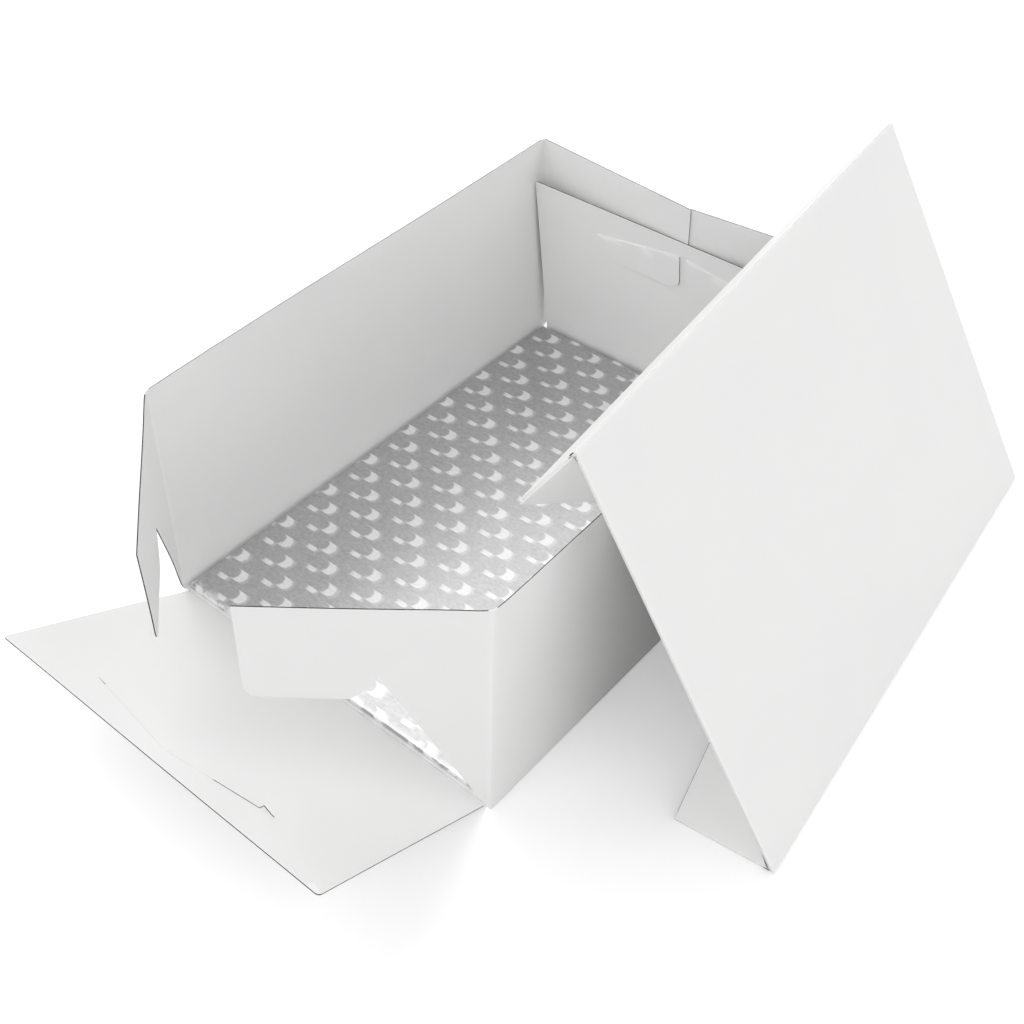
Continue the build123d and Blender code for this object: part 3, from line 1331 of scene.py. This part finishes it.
@dataclass(frozen=True)
class EndPanel:
    """The slits and hooks of an end panel, which the scene presses shut.

    Attributes:
        node: Its CAD node.
        end: -1 at the front, 1 at the rear.
        slit_keep: Share of a slit's width that is kept.
        left_hook: Share of the left hook's height that is kept.
        right_hook: The same for the right hook.
        gape_from: From its middle to where its right slit stands a little open.
        gape_keep: Share of the width that is kept there.
        slit_centre: From its crease to its slits' inner ends.
        slit_outer: From its crease to its slits' outer ends.
        slit_reach: From its middle to its slits' outer ends.
        slit_bridge: Card between the two slits.
        slit_border: A slit's edges lie this near to its middle line.
        slit_tip: How far past its outer end they are moved.
        hook_from: From its middle to its hooks' upright sides.
        hook_height: Height of a hook's upright side.
        shut_border: Edges this near to a slit's middle line show no core.
        shut_tip: How far past its outer end they show none.
        half_length: From the middle of the box to its ends.
    """

    node: str
    end: int
    slit_keep: float
    left_hook: float = 0.05
    right_hook: float = 0.05
    gape_from: float = 1.0
    gape_keep: float = 0.9
    slit_centre: float = 121 * MM
    slit_outer: float = 109.5 * MM
    slit_reach: float = 70.2 * MM
    slit_bridge: float = 2.5 * MM
    slit_border: float = 1.3 * MM
    slit_tip: float = 0.3 * MM
    hook_from: float = 60.2 * MM
    hook_height: float = 8.5 * MM
    shut_border: float = 1.4 * MM
    shut_tip: float = 1.0 * MM
    half_length: float = 175 * MM

    def hinge(self) -> Vector:
        """The middle of its crease."""
        return Vector((0.0, self.end * self.half_length, HALF_CARD))

    def up(self) -> Vector:
        """The direction from its crease to its free edge.

        Returns:
            The unit vector.
        """
        far = min(v.co.y for v in frame["nodes"][self.node].data.vertices)
        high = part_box(self.node)[1].z
        return (Vector((0.0, far, high)) - self.hinge()).normalized()

    def slit_line(self, across: float) -> float:
        """How far from the crease the slits' middle line runs.

        Args:
            across: Distance from the middle of the panel.

        Returns:
            The height.
        """
        share = min(1.0, across / self.slit_reach)
        return self.slit_centre + (self.slit_outer - self.slit_centre) * share

    def gapes(self, point: Vector) -> bool:
        """Whether a point lies where the slit stands a little open."""
        return point.x > self.gape_from

    def press(self) -> Callable[[Vector], Vector]:
        """Draws the edges of the slits and hooks together.

        Returns:
            A function that moves a point of the panel.
        """
        hinge, up = self.hinge(), self.up()

        def move(point: Vector) -> Vector:
            """Moves a point towards the slit's middle line.

            Args:
                point: The point.

            Returns:
                Its new place.
            """
            across = abs(point.x)
            over = (point - hinge).dot(up) - self.slit_line(across)
            if not self.slit_bridge / 4 <= across <= self.slit_reach + self.slit_tip:
                return point
            keep = 1.0
            if abs(over) < self.slit_border:
                keep = self.gape_keep if self.gapes(point) else self.slit_keep
            elif across > self.hook_from and -self.hook_height < over < 0:
                keep = self.left_hook if point.x < 0 else self.right_hook
            return point - up * over * (1 - keep)

        return move

    def pressed(self) -> Callable[[Vector], bool]:
        """Where the cut edges of the slits are pressed shut.

        Returns:
            A test for a point.
        """
        hinge, up = self.hinge(), self.up()

        def shut(point: Vector) -> bool:
            """Whether a point lies on a shut slit's edge.

            Args:
                point: The point.

            Returns:
                True if it does.
            """
            across = abs(point.x)
            over = (point - hinge).dot(up) - self.slit_line(across)
            near = across < self.slit_reach + self.shut_tip
            return near and abs(over) < self.shut_border and not self.gapes(point)

        return shut


@dataclass
class Base:
    """The base of the box.

    Attributes:
        materials: The finishes.
        panels: Its end panels.
        inside: A place inside it.
        lock_height: Height of the rear slits at the middle of the box.
        flap_from: From the middle of the box to where the rear left flap's end starts.
        flap_stretch: How much longer that flap is than its solid.
        flap_overlap: How far it lies in front of the rear right flap.
        tab_stretch: How much longer its tab is.
    """

    materials: Materials
    panels: tuple[EndPanel, ...] = (
        EndPanel("base_front_end_panel", -1, 0.25, right_hook=0.5, gape_from=28 * MM),
        EndPanel("base_rear_end_panel", 1, 0.12),
    )
    inside: tuple[float, float, float] = (0.0, 0.0, 80 * MM)
    lock_height: float = 122.5 * MM
    flap_from: float = -5 * MM
    flap_stretch: float = 7.6 * MM
    flap_overlap: float = 0.8 * MM
    tab_stretch: float = 2.0 * MM

    def bows(self) -> dict[str, Bow]:
        """How its sheets depart from flat.

        Returns:
            The bow of each sheet that has one, by node.
        """
        joggled = Bow(cut_lean=0.6)
        return {
            "base_left_wall": Bow(roll=0.4 * MM, wave=0.9 * MM),
            "base_right_wall": Bow(roll=0.7 * MM, reach=7 * MM, wave=0.7 * MM),
            "base_front_end_panel": Bow(wave=0.8 * MM),
            "base_front_left_flap": Bow(roll=0.5 * MM, reach=7 * MM, wave=1.8 * MM),
            "base_front_right_flap": Bow(roll=0.7 * MM, reach=7 * MM, wave=1.1 * MM),
            "base_rear_left_flap": joggled,
            "base_rear_right_flap": joggled,
        }

    def hinged_folds(self) -> dict[str, Crease]:
        """The folds that move.

        Returns:
            Each fold, by the node that it carries.
        """
        return {
            node: joint_crease(joint, node)
            for joint, node in (
                ("front_panel_fold", "base_front_end_panel"),
                ("front_left_flap_fold", "base_front_left_flap"),
                ("front_right_flap_fold", "base_front_right_flap"),
            )
        }

    def still_folds(self) -> list[Crease]:
        """The folds that don't move.

        Returns:
            The rear panel's fold, and those at the foot and the rear of both walls.
        """
        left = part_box("base_left_wall")[0].x + HALF_CARD
        low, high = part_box("base_right_wall")
        front, rear, top, foot = low.y, high.y, high.z, HALF_CARD
        ends = [Vector((x, rear - HALF_CARD, foot)) for x in (left, -left)]
        folds = [Crease(*ends)]
        for x in (left, -left):
            folds.append(Crease(Vector((x, front, foot)), Vector((x, rear, foot))))
            folds.append(Crease(Vector((x, rear, foot)), Vector((x, rear, top))))
        return folds

    def stretch(self, point: Vector) -> Vector:
        """Lengthens the free end of the rear left flap.

        Args:
            point: A place on the flap.

        Returns:
            Its new place.
        """
        if point.x < self.flap_from:
            return point
        if point.z > self.lock_height:
            return point + Vector((self.flap_stretch, -self.flap_overlap, 0.0))
        return point + Vector((self.tab_stretch, 0.0, 0.0))

    def build(self) -> None:
        """Dresses every sheet of the base."""
        hinged = self.hinged_folds()
        folds = list(hinged.values()) + self.still_folds()
        bows = self.bows()
        panels = {panel.node: panel for panel in self.panels}
        for node in frame["nodes"]:
            if not node.startswith("base_"):
                continue
            sheet = Sheet(node, folds, bows.get(node, Bow()), Vector(self.inside))
            if node in panels:
                panel = panels[node]
                sheet.finish(self.materials, panel.press(), panel.pressed())
            elif node == "base_rear_left_flap":
                sheet.cut(Vector((0, 0, self.lock_height)), Vector((0, 0, 1)))
                sheet.finish(self.materials, self.stretch)
            else:
                sheet.finish(self.materials)
        for node, crease in hinged.items():
            ridge(node + "_ridge", crease, node, self.materials)


@dataclass
class CakeBoard:
    """The foil-covered board.

    Attributes:
        materials: The finishes.
        turn_in: Width of the foil's border underneath.
        round_over: Radius of the foil over the board's edges.
        margin: Width of the border where the foil is crumpled.
        rows: Places of the mesh's rows beside the edges, as shares of that width.
        left_growth: How far the foil's left edge stands out over the solid's.
    """

    materials: Materials
    turn_in: float = 12 * MM
    round_over: float = 0.7 * MM
    margin: float = 7 * MM
    rows: tuple[float, ...] = (0.5, 1.0, 1.5)
    left_growth: float = 1.2 * MM

    def wrap(self, low: Vector, high: Vector) -> bmesh.types.BMesh:
        """A rounded box that is open underneath, inside the turned-in foil.

        Args:
            low: The box's low corner.
            high: Its high corner.

        Returns:
            The mesh.
        """
        mesh = bmesh.new()
        bmesh.ops.create_cube(
            mesh, size=1.0,
            matrix=Matrix.Translation((low + high) / 2)
            @ Matrix.Diagonal((*(high - low), 1.0)),
        )
        underside = [f for f in mesh.faces if f.normal.z < -0.5]
        bmesh.ops.inset_region(mesh, faces=underside, thickness=self.turn_in, depth=0.0)
        bmesh.ops.delete(mesh, geom=underside, context="FACES")
        corners = [
            e for e in mesh.edges
            if len(e.link_faces) == 2 and e.calc_face_angle(0.0) > CORNER_ANGLE
        ]
        bmesh.ops.bevel(
            mesh, geom=corners, offset=self.round_over, segments=3, profile=0.5,
            affect="EDGES", material=-1,
        )
        return mesh

    def crumple(self, mesh: bmesh.types.BMesh, low: Vector, high: Vector) -> None:
        """Cuts rows beside the edges, and marks the crumpled front border.

        Args:
            mesh: The foil.
            low: Its low corner.
            high: Its high corner.
        """
        for axis in (Vector((1.0, 0.0, 0.0)), Vector((0.0, 1.0, 0.0))):
            first, last = low.dot(axis), high.dot(axis)
            for share in self.rows:
                inset = self.margin * share
                for place in (first + inset, last - inset):
                    bmesh.ops.bisect_plane(
                        mesh, geom=mesh.verts[:] + mesh.edges[:] + mesh.faces[:],
                        dist=CUT_REACH, plane_co=axis * place, plane_no=axis,
                    )
        layer = mesh.verts.layers.float.new(RIM)
        for vert in mesh.verts:
            vert[layer] = max(0.0, 1.0 - (vert.co.y - low.y) / self.margin)

    def build(self) -> None:
        """Wraps the board in its foil, and finishes its core and its backing."""
        low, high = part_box("cake_board_foil")
        low.x -= self.left_growth
        mesh = self.wrap(low, high)
        self.crumple(mesh, low, high)
        for face in mesh.faces:
            face.smooth = True
        foil = mesh_object("cake_board_foil_wrap", mesh, [self.materials.foil])
        foil.data.set_sharp_from_angle(angle=FOIL_SHARP)
        body = frame["nodes"]["cake_board_foil"]["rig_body"]
        settle(foil, body, Slot.FOIL, "cake_board_foil")
        for node, material in (
            ("cake_board_core", self.materials.core),
            ("cake_board_paper", self.materials.paper),
        ):
            data = frame["nodes"][node].data
            data.materials.clear()
            data.materials.append(material)
            log.info("%s keeps its CAD shape", node)


@dataclass
class Lid:
    """The lid.

    Attributes:
        materials: The finishes.
        depth: From its face to a place among its rims.
        roll: How far its sheets stand out over their folds.
        reach: Width over which they roll down to a fold.
        wave: Height of the gentle waves of its face.
    """

    materials: Materials
    depth: float = 30 * MM
    roll: float = 0.75 * MM
    reach: float = 5 * MM
    wave: float = 0.5 * MM

    def folds(self) -> dict[str, Crease]:
        """Its folds.

        Returns:
            Each fold, by the node that it carries.
        """
        nodes = {
            "lid_upper_rim_fold": "lid_upper_long_rim",
            "lid_lower_rim_fold": "lid_lower_long_rim",
            "lid_front_rim_fold": "lid_front_short_rim",
            "lid_rear_rim_fold": "lid_rear_short_rim",
        }
        for end in ("front", "rear"):
            for side in ("upper", "lower"):
                corner = f"lid_{end}_{side}"
                nodes[corner + "_web_fold"] = corner + "_glue_tab"
        return {node: joint_crease(joint, node) for joint, node in nodes.items()}

    def build(self) -> None:
        """Dresses every sheet of the lid."""
        folds = self.folds()
        top = Sheet("lid_top_panel", [], Bow(), Vector((0.0, 0.0, 0.0)))
        inside = top.centre - top.axes[2] * self.depth
        top.mesh.free()
        long_rim = Bow(roll=self.roll / 2, reach=self.reach)
        short_rim = Bow(roll=self.roll / 3, reach=self.reach)
        bows = {
            "lid_top_panel": Bow(roll=self.roll, reach=self.reach, wave=self.wave),
            "lid_upper_long_rim": long_rim,
            "lid_lower_long_rim": long_rim,
            "lid_front_short_rim": short_rim,
            "lid_rear_short_rim": short_rim,
        }
        for node in frame["nodes"]:
            if node.startswith("lid_"):
                sheet = Sheet(node, list(folds.values()), bows.get(node, Bow()), inside)
                sheet.finish(self.materials)
        for node, crease in folds.items():
            ridge(node + "_ridge", crease, node, self.materials)


@dataclass
class Studio:
    """The floor, the lamps and the camera.

    Attributes:
        world_level: Light of the white room all round.
        floor_size: Half the floor's width.
        floor_drop: How far it lies below the object.
        lamps: Its far lamps.
    """

    world_level: float = 0.37
    floor_size: float = 6.0
    floor_drop: float = 0.4 * MM
    lamps: tuple[Lamp, ...] = (
        Lamp("right", (0.9, 0.1, 0.6), 1.05),
        Lamp("front", (0.1, -0.9, 0.7), 0.9),
        Lamp("left", (-0.8, 0.0, 0.7), 1.55),
        Lamp("back", (0.1, 0.8, 0.7), 0.45),
    )

    def floor_material(self, finish: FloorFinish) -> bpy.types.Material:
        """A matt floor that the camera sees as white where no shadow falls.

        Args:
            finish: The floor.

        Returns:
            The material.
        """
        material, s, surface = new_material("studio_floor")
        tone = s.noise(s.coords(), finish.grain)
        s.link(s.mix(tone, finish.dark, finish.light), surface["Base Color"])
        surface["Roughness"].default_value = 1.0
        surface["Specular IOR Level"].default_value = 0.0
        glow = s.math("MULTIPLY", self.seen(s), finish.fill)
        s.link(glow, surface["Emission Strength"])
        surface["Emission Color"].default_value = (1.0, 1.0, 1.0, 1.0)
        return material

    def build_floor(self) -> None:
        """A pale floor that keeps the object's soft shadow."""
        mesh = bmesh.new()
        bmesh.ops.create_grid(
            mesh, x_segments=1, y_segments=1, size=self.floor_size,
            matrix=Matrix.Translation((0.0, 0.0, -self.floor_drop)),
        )
        mesh_object("studio_floor", mesh, [self.floor_material(FLOOR)])

    def seen(self, s: Shader) -> Socket:
        """A mask that is 1 where the camera or a reflection looks, and 0 for light.

        Args:
            s: The shader to build in.

        Returns:
            The mask.
        """
        path = s.add("ShaderNodeLightPath").outputs
        seen = s.math("ADD", path["Is Camera Ray"], path["Is Glossy Ray"])
        seen = s.math("ADD", seen, path["Is Transmission Ray"])
        return s.math("MINIMUM", seen, 1.0)

    def build_world(self) -> None:
        """A white room all round."""
        world = bpy.data.worlds.new("studio")
        bpy.context.scene.world = world
        world.use_nodes = True
        s = Shader(world.node_tree)
        background = world.node_tree.nodes["Background"]
        strength = s.math(
            "MULTIPLY_ADD", self.seen(s), 1.0 - self.world_level, self.world_level,
        )
        background.inputs["Color"].default_value = (1.0, 1.0, 1.0, 1.0)
        s.link(strength, background.inputs["Strength"])

    def build_lamps(self) -> None:
        """Soft far lamps."""
        for lamp in self.lamps:
            data = bpy.data.lights.new(lamp.name, "SUN")
            data.energy = lamp.strength
            data.angle = math.radians(lamp.width)
            light = bpy.data.objects.new(lamp.name, data)
            light.rotation_mode = "QUATERNION"
            light.rotation_quaternion = Vector(lamp.towards).to_track_quat("Z", "Y")
            bpy.context.scene.collection.objects.link(light)

    def build_camera(self, view: Camera) -> None:
        """Sets the photograph's camera.

        Args:
            view: Where it stands and looks.
        """
        data = bpy.data.cameras.new("photo_camera")
        data.sensor_width = view.sensor
        data.lens = view.focal / view.frame * view.sensor
        data.shift_x = 0.5 - view.centre[0] / view.frame
        data.shift_y = view.centre[1] / view.frame - 0.5
        data.clip_start = view.near
        data.clip_end = view.far
        camera = bpy.data.objects.new("photo_camera", data)
        right = Vector(view.right).normalized()
        up = -Vector(view.down)
        up = (up - right * up.dot(right)).normalized()
        turn = Matrix((right, up, right.cross(up))).transposed().to_4x4()
        camera.matrix_world = Matrix.Translation(Vector(view.place)) @ turn
        bpy.context.scene.collection.objects.link(camera)
        bpy.context.scene.camera = camera

    def build(self) -> None:
        """Builds the studio."""
        self.build_camera(Camera())
        self.build_floor()
        self.build_world()
        self.build_lamps()
        bpy.context.scene.view_settings.view_transform = "Standard"


def main() -> None:
    """Builds the whole scene."""
    logging.basicConfig(level=logging.INFO, format="%(name)s: %(message)s")
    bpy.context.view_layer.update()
    Studio().build()
    materials = make_materials()
    Base(materials).build()
    CakeBoard(materials).build()
    Lid(materials).build()


if __name__ == "__main__":
    main()
